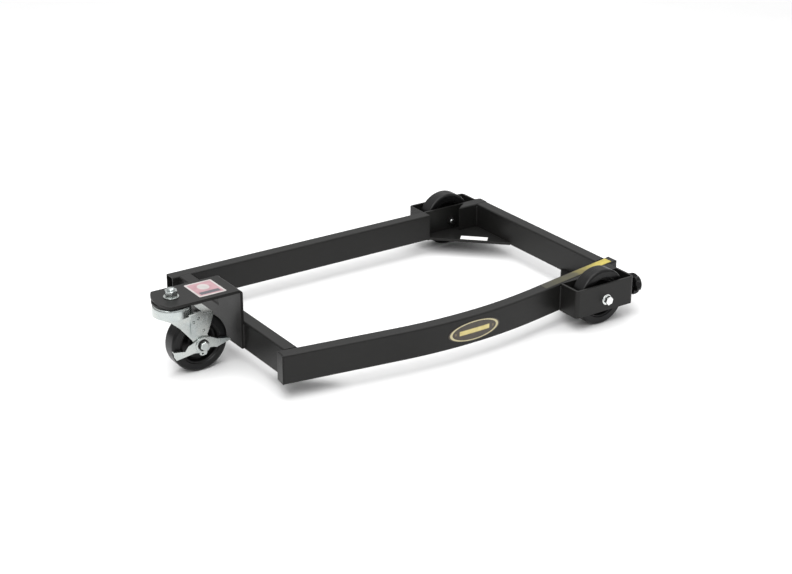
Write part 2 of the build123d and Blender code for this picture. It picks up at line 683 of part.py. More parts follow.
FLARE_Z0, FLARE_Z1 = 86.0, 112.0
CROWN_FLARE = 29.0
X_BACK = -370.0
with BuildPart() as caster_fork:
    with BuildSketch(level(FLARE_Z0)):
        add(stadium(LEG_HALF, X_BACK))
        make_face()
    with BuildSketch(level(FLARE_Z1)):
        add(stadium(CROWN_FLARE, X_BACK))
        make_face()
    loft()
    with BuildSketch(level(38.0)):
        add(stadium(LEG_HALF, X_BACK))
        make_face()
    extrude(amount=FLARE_Z0 - 38.0)
    # inside of the legs
    with BuildSketch(level(FLARE_Z0)):
        add(stadium(LEG_HALF - SHEET, X_BACK + 10))
        make_face()
    with BuildSketch(level(FLARE_Z1 + 0.01)):
        add(stadium(CROWN_FLARE - SHEET, X_BACK + 10))
        make_face()
    loft(mode=Mode.SUBTRACT)
    with BuildSketch(level(37.0)):
        add(stadium(LEG_HALF - SHEET, X_BACK + 10))
        make_face()
    extrude(amount=FLARE_Z0 - 37.0, mode=Mode.SUBTRACT)
    # side outline of the legs
    with BuildSketch(facing_near(STEM_Y + 60)):
        with BuildLine():
            Polyline(
                (-479.0, 112.0),
                (-479.0, 108.5),
                (-462.0, 103.0),
                (-446.0, 88.0),
                (-425.0, 62.0),
                (-420.0, 50.0),
                (-413.0, 41.5),
                (-404.0, 39.5),
                (-396.0, 43.0),
                (-391.5, 52.0),
                (-398.5, 72.0),
                (-403.0, 90.0),
                (-404.0, 112.0),
                close=True,
            )
        make_face()
    extrude(amount=120, mode=Mode.INTERSECT)
    # crown cup
    with BuildSketch(facing_near(STEM_Y)):
        with BuildLine():
            l1 = Line((STEM_X + STEM_R + FIT, CROWN_TOP), (STEM_X + 26.0, CROWN_TOP))
            a1 = ThreePointArc(
                (STEM_X + 26.0, CROWN_TOP),
                (STEM_X + 30.6, CROWN_TOP - 1.9),
                (STEM_X + CROWN_R, CROWN_TOP - 6.5),
            )
            Polyline(
                (STEM_X + CROWN_R, CROWN_TOP - 6.5),
                (STEM_X + CROWN_R, CROWN_BOT),
                (STEM_X + CROWN_R - SHEET, CROWN_BOT),
                (STEM_X + CROWN_R - SHEET, CROWN_TOP - 7.0),
                (STEM_X + 25.0, CROWN_TOP - 3.0),
                (STEM_X + STEM_R + FIT, CROWN_TOP - 3.0),
                (STEM_X + STEM_R + FIT, CROWN_TOP),
            )
        make_face()
    revolve(axis=axis_z(STEM_X, STEM_Y))
    # web that joins the flared legs to the skirt
    with BuildSketch(level(FLARE_Z1 - 2.5)):
        with Locations((STEM_X, STEM_Y)):
            Circle(CROWN_R - 0.5)
            Circle(CROWN_FLARE - SHEET - 1.0, mode=Mode.SUBTRACT)
    extrude(amount=2.5)
    # stay clear of the stem's head and cut the axle holes
    with BuildSketch(facing_near(STEM_Y + 60)):
        with Locations((CASTER_X, AXLE_Z)):
            Circle(4.9)
    extrude(amount=120, mode=Mode.SUBTRACT)
    # the near leg runs up flat behind the brake strap, inside the flare
    with BuildSketch(facing_near(NEAR_LEG_Y + 14.0)):
        with BuildLine():
            Polyline(
                (-428.0, FLARE_Z0),
                (-428.0, FLARE_Z1 - 2.5),
                (-421.0, FLARE_Z1 - 2.5),
                (-421.0, FLARE_Z1 + 1.0),
                (-395.0, FLARE_Z1 + 1.0),
                (-395.0, FLARE_Z0),
                close=True,
            )
        make_face()
    extrude(amount=30.0, mode=Mode.SUBTRACT)
    with BuildSketch(facing_near(NEAR_LEG_Y + SHEET)):
        with BuildLine():
            Polyline(
                (-428.0, 80.0),
                (-428.0, FLARE_Z1),
                (-424.5, FLARE_Z1),
                (-403.2, 92.0),
                (-400.8, 80.0),
                close=True,
            )
        make_face()
    extrude(amount=SHEET)
    with BuildSketch(facing_near(NEAR_LEG_Y + SHEET + 1)):
        with Locations(*PIN_PTS):
            Circle(PIN_R)
    extrude(amount=SHEET + 2, mode=Mode.SUBTRACT)
    # crown race: shallow groove for the balls
    with BuildSketch(facing_near(STEM_Y)):
        with Locations((STEM_X + 20.0, BALL_Z)):
            Circle(BALL_R + 0.05)
    revolve(axis=axis_z(STEM_X, STEM_Y), mode=Mode.SUBTRACT)
finish(caster_fork, "caster_fork")

# Guide pins riveted in the near leg: the brake strap slides on them.
with BuildPart() as brake_guide_pins:
    with BuildSketch(facing_near(NEAR_LEG_Y + SHEET)):
        with Locations(*PIN_PTS):
            Circle(PIN_R)
    extrude(amount=SHEET + 1.4)
finish(brake_guide_pins, "brake_guide_pins")


# ------------------------------------------------------------------- wheels
TREAD_IN = 36.0                     # where the tread ring meets the core
HUB_HALF = 18.0
BUSH_WALL = 1.65


def tread_profile(yc, half, edge):
    """Half section of a tread ring, datum y across and height up."""
    with BuildSketch() as section:
        with BuildLine():
            Polyline(
                (yc - half + 1.5, AXLE_Z + TREAD_IN),
                (yc - half, AXLE_Z + TREAD_IN + 1.5),
                (yc - half, AXLE_Z + WHEEL_R),
                (yc + half, AXLE_Z + WHEEL_R),
                (yc + half, AXLE_Z + TREAD_IN + 1.5),
                (yc + half - 1.5, AXLE_Z + TREAD_IN),
                close=True,
            )
        make_face()
        crown = section.vertices().filter_by(lambda v: v.Y > AXLE_Z + WHEEL_R - 0.1)
        fillet(crown, edge)
    return section.sketch


def core_profile(yc, rim_half, bore, hub_half):
    """Half section of a dished wheel core: hub, web and rim."""
    side = [
        (hub_half, bore),
        (hub_half, 12.8),
        (hub_half - 1.2, 14.0),
        (6.5, 15.2),
        (4.5, 17.5),
        (4.5, 29.0),
        (6.0, 31.5),
        (rim_half - 1.2, 33.0),
        (rim_half, 34.2),
        (rim_half, TREAD_IN),
    ]
    points = side + [(-a, r) for a, r in reversed(side)]
    with BuildSketch() as section:
        with BuildLine():
            Polyline(*[(yc + a, AXLE_Z + r) for a, r in points], close=True)
        make_face()
    return section.sketch


def ring_profile(y0, y1, r_in, r_out):
    with BuildSketch() as section:
        with BuildLine():
            Polyline(
                (y0, AXLE_Z + r_in),
                (y1, AXLE_Z + r_in),
                (y1, AXLE_Z + r_out),
                (y0, AXLE_Z + r_out),
                close=True,
            )
        make_face()
    return section.sketch


FIXED_AXIS = axis_y(WHEEL_X, AXLE_Z)
CASTER_AXIS = axis_y(CASTER_X, AXLE_Z)
FIXED_BUSH = AXLE_R + FIT + BUSH_WALL

with BuildPart() as near_tyre:
    with BuildSketch(facing_rear(WHEEL_X)):
        add(tread_profile(NEAR_WHEEL_Y, FIXED_W / 2, 4.5))
    revolve(axis=FIXED_AXIS)
finish(near_tyre, "near_tyre")

with BuildPart() as near_wheel_core:
    with BuildSketch(facing_rear(WHEEL_X)):
        add(core_profile(NEAR_WHEEL_Y, FIXED_W / 2 - 1.5, FIXED_BUSH, HUB_HALF - 0.2))
    revolve(axis=FIXED_AXIS)
finish(near_wheel_core, "near_wheel_core")

with BuildPart() as near_wheel_bushing:
    with BuildSketch(facing_rear(WHEEL_X)):
        add(ring_profile(NEAR_WHEEL_Y - HUB_HALF, NEAR_WHEEL_Y + HUB_HALF, AXLE_R + FIT, FIXED_BUSH))
    revolve(axis=FIXED_AXIS)
finish(near_wheel_bushing, "near_wheel_bushing")

with BuildPart() as far_tyre:
    with BuildSketch(facing_rear(WHEEL_X)):
        add(tread_profile(FAR_WHEEL_Y, FIXED_W / 2, 4.5))
    revolve(axis=FIXED_AXIS)
finish(far_tyre, "far_tyre")

with BuildPart() as far_wheel_core:
    with BuildSketch(facing_rear(WHEEL_X)):
        add(core_profile(FAR_WHEEL_Y, FIXED_W / 2 - 1.5, FIXED_BUSH, HUB_HALF - 0.2))
    revolve(axis=FIXED_AXIS)
finish(far_wheel_core, "far_wheel_core")

with BuildPart() as far_wheel_bushing:
    with BuildSketch(facing_rear(WHEEL_X)):
        add(ring_profile(FAR_WHEEL_Y - HUB_HALF, FAR_WHEEL_Y + HUB_HALF, AXLE_R + FIT, FIXED_BUSH))
    revolve(axis=FIXED_AXIS)
finish(far_wheel_bushing, "far_wheel_bushing")

CASTER_EDGE = 6.0
CASTER_BUSH = LOCK_R + FIT + BUSH_WALL
with BuildPart() as caster_tyre:
    with BuildSketch(facing_rear(CASTER_X)):
        add(tread_profile(STEM_Y, CASTER_W / 2, CASTER_EDGE))
    revolve(axis=CASTER_AXIS)
finish(caster_tyre, "caster_tyre")

with BuildPart() as caster_wheel_core:
    with BuildSketch(facing_rear(CASTER_X)):
        add(core_profile(STEM_Y, CASTER_W / 2 - 1.5, CASTER_BUSH, HUB_HALF))
    revolve(axis=CASTER_AXIS)
finish(caster_wheel_core, "caster_wheel_core")

with BuildPart() as caster_bushing:
    with BuildSketch(facing_rear(CASTER_X)):
        add(ring_profile(STEM_Y - HUB_HALF - 0.6, STEM_Y + HUB_HALF + 0.6, LOCK_R + FIT, CASTER_BUSH))
    revolve(axis=CASTER_AXIS)
finish(caster_bushing, "caster_bushing")

# --------------------------------------------------- axles of the fixed wheels
# Shoulder bolts: hexagon head on a round flange outside, shoulder against the
# inner plate, jam nut behind it.
SPACER_T = 1.6
JAM_H = 4.76
FLANGE_T = 2.6
HEAD_OUT = 10.2                     # head's end, out from the bracket
INSIDE = BR_W - BR_T                # head seat to the inner plate's near face
with BuildPart() as axle_bolts:
    for seat, s in ((NEAR_BR_OUT, 1), (FAR_BR_OUT, -1)):
        with BuildSketch(facing_rear(WHEEL_X)):
            with BuildLine():
                Polyline(
                    (seat - s * FLANGE_T, AXLE_Z),
                    (seat - s * FLANGE_T, AXLE_Z + 9.1),
                    (seat - s * (FLANGE_T - 0.6), AXLE_Z + 9.7),
                    (seat, AXLE_Z + 9.7),
                    (seat, AXLE_Z + AXLE_R),
                    (seat + s * INSIDE, AXLE_Z + AXLE_R),
                    (seat + s * INSIDE, AXLE_Z + AXLE_THREAD_R),
                    (seat + s * (BR_W + JAM_H + 0.1), AXLE_Z + AXLE_THREAD_R),
                    (seat + s * (BR_W + JAM_H + 0.8), AXLE_Z + AXLE_THREAD_R - 0.7),
                    (seat + s * (BR_W + JAM_H + 0.8), AXLE_Z),
                    close=True,
                )
            make_face()
        revolve(axis=FIXED_AXIS)
        with BuildSketch(facing_near(seat - s * FLANGE_T)):
            with Locations((WHEEL_X, AXLE_Z)):
                RegularPolygon(7.15, 6, major_radius=False, rotation=14)
        extrude(amount=s * (HEAD_OUT - FLANGE_T))
    rims = axle_bolts.faces().sort_by(Axis.Y)
    chamfer(rims[0].edges() + rims[-1].edges(), 0.8)
finish(axle_bolts, "axle_bolts")

with BuildPart() as axle_nuts:
    for face, direction in ((NEAR_PLATE_Y, -1), (FAR_PLATE_Y, 1)):
        with BuildSketch(facing_near(face)):
            with Locations((WHEEL_X, AXLE_Z)):
                RegularPolygon(6.35, 6, major_radius=False, rotation=8)
                Circle(AXLE_THREAD_R + 0.02, mode=Mode.SUBTRACT)
        extrude(amount=direction * JAM_H)
finish(axle_nuts, "axle_nuts")

with BuildPart() as axle_spacers:
    for y0 in (
        NEAR_BR_OUT + BR_T,
        NEAR_PLATE_Y - BR_T - SPACER_T,
        FAR_BR_OUT - BR_T - SPACER_T,
        FAR_PLATE_Y + BR_T,
    ):
        with BuildSketch(facing_rear(WHEEL_X)):
            add(ring_profile(y0, y0 + SPACER_T, AXLE_R + 0.05, 10.5))
        revolve(axis=FIXED_AXIS)
finish(axle_spacers, "axle_spacers")

# --------------------------------------------------------------- wheel locks
# A knobbed screw runs in a nut welded on the bracket's rear leg and presses a
# pad against the tread.
LOCK_TRAVEL = 3.0
LOCK_NUT_H = 5.0
PAD_X0, PAD_T, PAD_R = 317.2, 2.0, 8.0
TIP_R = 2.5
KNOB_X0 = 334.6                     # inboard end of the knob's collar
KNOB_X = 340.5                      # start of the lobes
KNOB_H = 18.0
KNOB_R = 19.5
SCREW_END = KNOB_X + 13.0

with BuildPart() as lock_weld_nuts:
    for yc in (NEAR_WHEEL_Y, FAR_WHEEL_Y):
        with BuildSketch(facing_rear(BR_X1)):
            with Locations((yc, LOCK_Z)):
                RegularPolygon(7.15, 6, major_radius=False, rotation=10)
                Circle(LOCK_R + FIT, mode=Mode.SUBTRACT)
        extrude(amount=LOCK_NUT_H)
    rims = lock_weld_nuts.faces().sort_by(Axis.X)[-2:].edges().filter_by(GeomType.LINE)
    chamfer(rims, 0.8)
finish(lock_weld_nuts, "lock_weld_nuts")


def lock_pad(yc):
    with BuildSketch(facing_rear(PAD_X0)) as disc:
        with Locations((yc, LOCK_Z)):
            Circle(PAD_R)
            Circle(TIP_R + FIT, mode=Mode.SUBTRACT)
    extrude(disc.sketch, amount=PAD_T)


def lock_screw(yc):
    with BuildSketch(facing_near(yc)) as section:
        with BuildLine():
            Polyline(
                (PAD_X0 + 0.3, LOCK_Z),
                (PAD_X0 + 0.3, LOCK_Z + TIP_R),
                (PAD_X0 + PAD_T + 0.1, LOCK_Z + TIP_R),
                (PAD_X0 + PAD_T + 0.1, LOCK_Z + LOCK_R),
                (SCREW_END, LOCK_Z + LOCK_R),
                (SCREW_END, LOCK_Z),
                close=True,
            )
        make_face()
    revolve(section.sketch, axis=axis_x(yc, LOCK_Z))


def knob_outline():
    """Six rounded lobes with soft valleys, as one closed curve."""
    points = []
    for i in range(72):
        t = math.radians(5 * i)
        wave = 0.5 + 0.5 * math.cos(6 * t)
        radius = KNOB_R - 5.2 * (1 - wave) ** 1.35
        points.append((radius * math.cos(t), radius * math.sin(t)))
    with BuildSketch() as outline:
        with BuildLine():
            Spline(*points, periodic=True)
        make_face()
    return outline.sketch


def lock_knob(yc, turn):
    with BuildSketch(facing_rear(KNOB_X)) as star:
        with Locations(Location((yc, LOCK_Z), turn)):
            add(knob_outline())
    extrude(star.sketch, amount=KNOB_H)
    with BuildSketch(facing_near(yc)) as dome:
        with BuildLine():
            Polyline(
                (KNOB_X - 1, LOCK_Z),
                (KNOB_X - 1, LOCK_Z + KNOB_R - 2.2),
                (KNOB_X + 0.6, LOCK_Z + KNOB_R - 0.6),
                (KNOB_X + 2.0, LOCK_Z + KNOB_R),
                (KNOB_X + 7.5, LOCK_Z + KNOB_R - 0.3),
                (KNOB_X + 11.0, LOCK_Z + KNOB_R - 2.0),
                (KNOB_X + 14.0, LOCK_Z + KNOB_R - 5.6),
                (KNOB_X + 16.8, LOCK_Z + 9.6),
                (KNOB_X + KNOB_H, LOCK_Z + 6.6),
                (KNOB_X + KNOB_H, LOCK_Z),
                close=True,
            )
        make_face()
    revolve(dome.sketch, axis=axis_x(yc, LOCK_Z), mode=Mode.INTERSECT)
    with BuildSketch(facing_rear(KNOB_X0)) as collar:
        with Locations((yc, LOCK_Z)):
            Circle(9.0)
    extrude(collar.sketch, amount=KNOB_X - KNOB_X0 + 1.0)
    with BuildSketch(facing_rear(KNOB_X0 - 1)) as bore:
        with Locations((yc, LOCK_Z)):
            Circle(LOCK_R)
    extrude(bore.sketch, amount=SCREW_END - KNOB_X0 + 1.0, mode=Mode.SUBTRACT)


with BuildPart() as near_lock_pad:
    lock_pad(NEAR_WHEEL_Y)
finish(near_lock_pad, "near_lock_pad")

with BuildPart() as near_lock_screw:
    lock_screw(NEAR_WHEEL_Y)
finish(near_lock_screw, "near_lock_screw")

with BuildPart() as near_lock_knob:
    lock_knob(NEAR_WHEEL_Y, 12.0)
finish(near_lock_knob, "near_lock_knob")

with BuildPart() as far_lock_pad:
    lock_pad(FAR_WHEEL_Y)
finish(far_lock_pad, "far_lock_pad")

with BuildPart() as far_lock_screw:
    lock_screw(FAR_WHEEL_Y)
finish(far_lock_screw, "far_lock_screw")

with BuildPart() as far_lock_knob:
    lock_knob(FAR_WHEEL_Y, 38.0)
finish(far_lock_knob, "far_lock_knob")

# ------------------------------------------------- caster axle and side brake
LEVER_Y0 = NEAR_LEG_Y - 0.7         # inner face of the brake lever
LEVER_T = 2.5
COLLAR_T = 1.6                      # raised ring round the lever's hub
RING_T = 1.2
HEAD_Y = LEVER_Y0 - LEVER_T - 0.3 - RING_T
HEAD_H = 6.4
CASTER_NUT_H = 8.0
with BuildPart() as caster_axle_bolt:
    with BuildSketch(facing_rear(CASTER_X)):
        add(ring_profile(HEAD_Y, FAR_LEG_Y + WASHER_T + CASTER_NUT_H + 2.4, 0.0, LOCK_R))
    revolve(axis=CASTER_AXIS)
    with BuildSketch(facing_near(HEAD_Y)):
        with Locations((CASTER_X, AXLE_Z)):
            RegularPolygon(7.15, 6, major_radius=False, rotation=20)
    extrude(amount=HEAD_H)
    rim = caster_axle_bolt.faces().sort_by(Axis.Y)[0].edges()
    chamfer(rim, 0.9)
finish(caster_axle_bolt, "caster_axle_bolt")

with BuildPart() as caster_axle_nut:
    with BuildSketch(facing_near(FAR_LEG_Y + WASHER_T)):
        with Locations((CASTER_X, AXLE_Z)):
            RegularPolygon(7.15, 6, major_radius=False, rotation=5)
            Circle(LOCK_R + 0.02, mode=Mode.SUBTRACT)
    extrude(amount=-CASTER_NUT_H)
    rims = caster_axle_nut.faces().sort_by(Axis.Y)[-1].edges().filter_by(GeomType.LINE)
    chamfer(rims, 0.8)
finish(caster_axle_nut, "caster_axle_nut")

# Flat washers on the axle: one under the nut, one black one under the head.
with BuildPart() as caster_nut_washer:
    with BuildSketch(facing_rear(CASTER_X)):
        add(ring_profile(FAR_LEG_Y, FAR_LEG_Y + WASHER_T, LOCK_R + 0.02, 11.0))
    revolve(axis=CASTER_AXIS)
finish(caster_nut_washer, "caster_nut_washer")

with BuildPart() as brake_ring:
    with BuildSketch(facing_rear(CASTER_X)):
        add(ring_profile(HEAD_Y, HEAD_Y + RING_T, LOCK_R + 0.02, 9.6))
    revolve(axis=CASTER_AXIS)
finish(brake_ring, "brake_ring")

# Strap: slides down on the guide pins until its tab touches the tread.
STRAP_Y0 = NEAR_LEG_Y - 0.3
STRAP_T = 2.0
TAB_Z = 103.9
TAB_T = 2.0
with BuildPart() as brake_strap:
    with BuildSketch(facing_near(STRAP_Y0)) as plate:
        with BuildLine():
            Polyline(
                (-427.0, 107.4),
                (-423.0, 107.4),
                (-421.5, 111.4),
                (-404.5, 110.4),
                (-402.0, TAB_Z + TAB_T),
                (-387.0, TAB_Z + TAB_T),
                (-385.5, 99.0),
                (-396.9, 69.5),
                (-399.0, 68.9),
                (-404.0, 70.8),
                (-416.0, 68.6),
                (-427.0, 72.5),
                close=True,
            )
        make_face()
        fillet(plate.vertices().filter_by(lambda v: v.Y < 73 and (v.X < -420 or v.X > -398)), 1.5)
        with Locations((-412.9, 99.3)):
            Circle(3.0, mode=Mode.SUBTRACT)
        with Locations(*[(px, pz + 1.0) for px, pz in PIN_PTS]):
            SlotOverall(6.0, 4.0, rotation=90, mode=Mode.SUBTRACT)
    extrude(amount=STRAP_T)
    # tab bent inward over the tread
    with BuildSketch(facing_near(STRAP_Y0)):
        with BuildLine():
            Polyline(
                (-402.0, TAB_Z),
                (-402.0, TAB_Z + TAB_T),
                (-387.0, TAB_Z + TAB_T),
                (-387.0, TAB_Z),
                close=True,
            )
        make_face()
    extrude(amount=-35.0)
finish(brake_strap, "brake_strap")

# Lever: a rocker on the axle bolt, one pedal each way.
with BuildPart() as brake_lever:
    with BuildSketch(facing_near(LEVER_Y0)) as rocker:
        with Locations((CASTER_X, AXLE_Z)):
            Circle(14.0)
        with BuildLine():
            Polyline(
                (-403.0, 64.2),
                (-392.5, 61.8),
                (-380.0, 55.4),
                (-358.0, 51.4),
                (-355.5, 47.6),
                (-368.8, 44.6),
                (-382.0, 40.6),
                (-387.5, 42.6),
                (-395.0, 43.2),
                close=True,
            )
        make_face()
        with BuildLine():
            Polyline(
                (-417.0, 60.4),
                (-434.0, 54.6),
                (-440.0, 46.6),
                (-460.5, 50.2),
                (-459.2, 41.0),
                (-455.9, 34.9),
                (-423.0, 39.6),
                (-411.0, 37.6),
                close=True,
            )
        make_face()
        # lug with a spring hole under the hub
        with BuildLine():
            Polyline(
                (-414.5, 39.5),
                (-413.6, 34.0),
                (-409.5, 31.9),
                (-402.0, 32.4),
                (-400.0, 36.4),
                (-401.0, 39.5),
                close=True,
            )
        make_face()
        with Locations((-408.4, 35.6)):
            Circle(1.8, mode=Mode.SUBTRACT)
        with Locations((CASTER_X, AXLE_Z)):
            Circle(LOCK_R + FIT, mode=Mode.SUBTRACT)
    extrude(amount=LEVER_T)
    # raised ring
    with BuildSketch(facing_near(LEVER_Y0 + 0.0)):
        with Locations((CASTER_X, AXLE_Z)):
            Circle(13.4)
            Circle(10.6, mode=Mode.SUBTRACT)
    extrude(amount=LEVER_T + COLLAR_T)
    # lips bent inward along the two pedals
    with BuildSketch(facing_near(LEVER_Y0)):
        with BuildLine():
            Polyline(
                (-378.0, 52.4),
                (-377.6, 54.9),
                (-358.4, 51.4),
                (-358.8, 49.0),
                close=True,
            )
        make_face()
        with BuildLine():
            Polyline(
                (-460.4, 50.1),
                (-460.0, 47.6),
                (-443.0, 44.6),
                (-442.6, 47.1),
                close=True,
            )
        make_face()
    extrude(amount=-4.6)
finish(brake_lever, "brake_lever")

# --------------------------------------------------------------- weld beads
BEAD = 3.2


def bead(corner, a, b, z0, z1):
    """Triangular fillet bead standing in a corner, from z0 to z1."""
    with BuildSketch(level(z0)) as section:
        with BuildLine():
            Polyline(corner, a, b, close=True)
        make_face()
    extrude(section.sketch, amount=z1 - z0)


B0, B1 = RAIL_BOT + 2.0, RAIL_TOP - 3.2
with BuildPart() as weld_beads:
    # rear wheel bracket on the bowed rail
    y = near_face_y(BR_X0, -HALF)
    bead((BR_X0, y), (BR_X0 - BEAD, near_face_y(BR_X0 - BEAD, -HALF)), (BR_X0, y - BEAD), B0, B1)
    y = near_face_y(BR_X1, -HALF)
    bead((BR_X1, y), (BR_X1 + BEAD, near_face_y(BR_X1 + BEAD, -HALF)), (BR_X1, y - BEAD), B0, B1)
    # caster plate on the front cross member
    for y, s in ((PLATE_Y0, -1), (PLATE_Y1, 1)):
        bead(
            (FRONT_OUT, y),
            (FRONT_OUT, y + s * BEAD),
            (FRONT_OUT - BEAD, y),
            B0 + 1,
            B1,
        )
    # cross members in the four inside corners
    bead((FRONT_IN, FAR_IN), (FRONT_IN + BEAD, FAR_IN), (FRONT_IN, FAR_IN - BEAD), SUP_TOP, B1)
    bead((REAR_IN, FAR_IN), (REAR_IN - BEAD, FAR_IN), (REAR_IN, FAR_IN - BEAD), SUP_TOP, B1)
    y = near_front_y(FRONT_IN, HALF)
    bead(
        (FRONT_IN, y),
        (FRONT_IN + BEAD, near_front_y(FRONT_IN + BEAD, HALF)),
        (FRONT_IN, y + BEAD),
        SUP_TOP,
        B1,
    )
    y = near_face_y(REAR_IN, HALF)
    bead(
        (REAR_IN, y),
        (REAR_IN - BEAD, near_face_y(REAR_IN - BEAD, HALF)),
        (REAR_IN, y + BEAD),
        SUP_TOP,
        B1,
    )
finish(weld_beads, "weld_beads")

# ------------------------------------------------------------------- labels
BADGE_X, BADGE_Z = -7.0, 53.5
with BuildPart() as oval_badge:
    with BuildSketch(level(RAIL_BOT + 2)):
        with Locations((BOW_CENTRE.X, BOW_CENTRE.Y)):
            Circle(BOW_R + HALF + 0.5)
            Circle(BOW_R + HALF, mode=Mode.SUBTRACT)
        with Locations((BADGE_X, -222.0)):
            Rectangle(130, 30, mode=Mode.INTERSECT)
    extrude(amount=RAIL_H - 4)
    with BuildSketch(facing_near(-200.0)):
        with Locations((BADGE_X, BADGE_Z)):
            Ellipse(53.0, 17.8)
    extrude(amount=60, mode=Mode.INTERSECT)
finish(oval_badge, "oval_badge")

with BuildPart() as warning_strip:
    with BuildSketch(level(RAIL_TOP)):
        Polygon(
            (162.0, near_face_y(162.0, -8.4)),
            (336.0, near_face_y(336.0, -8.4)),
            (336.0, near_face_y(336.0, 8.4)),
            (162.0, near_face_y(162.0, 8.4)),
            align=None,
        )
    extrude(amount=FILM)
finish(warning_strip, "warning_strip")

with BuildPart() as caster_plate_sticker:
    with BuildSketch(level(PLATE_TOP)):
        with Locations((-386.0, 7.5)):
            RectangleRounded(50.0, 57.0, 3.0)
    extrude(amount=FILM)
finish(caster_plate_sticker, "caster_plate_sticker")

with BuildPart() as blank_label:
    with BuildSketch(level(SUP_TOP - FILM)):
        with Locations(LABEL_AT):
            RectangleRounded(52.0, 17.0, 1.0)
    extrude(amount=FILM)
finish(blank_label, "blank_label")
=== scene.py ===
import json
import math

import bmesh
import bpy
from mathutils import Matrix, Vector


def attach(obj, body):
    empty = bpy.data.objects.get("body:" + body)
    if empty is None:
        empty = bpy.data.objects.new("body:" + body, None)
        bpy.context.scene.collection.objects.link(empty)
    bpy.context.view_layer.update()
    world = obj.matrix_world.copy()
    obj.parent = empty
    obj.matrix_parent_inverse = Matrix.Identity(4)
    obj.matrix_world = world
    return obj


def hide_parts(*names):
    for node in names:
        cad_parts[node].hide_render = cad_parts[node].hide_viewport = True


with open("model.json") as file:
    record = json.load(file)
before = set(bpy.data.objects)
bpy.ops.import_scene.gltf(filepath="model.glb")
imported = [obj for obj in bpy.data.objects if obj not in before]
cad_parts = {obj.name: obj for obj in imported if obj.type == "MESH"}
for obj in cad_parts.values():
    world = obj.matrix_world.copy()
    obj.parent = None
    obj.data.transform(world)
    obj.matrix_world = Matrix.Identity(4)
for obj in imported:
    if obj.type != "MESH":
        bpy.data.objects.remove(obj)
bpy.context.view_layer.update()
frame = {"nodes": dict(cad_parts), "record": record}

# ------------------------------------------------------------------ constants
DX, DY = 0.061, -0.010             # the frame datum used in the CAD, in metres
WHEEL_X = 0.324
NEAR_Y, FAR_Y = -0.230, 0.230
AXLE_Z = 0.0508
CASTER_X, CASTER_Y = -0.346, -0.003
STEM_X = -0.387
LOCK_Z = 0.0525


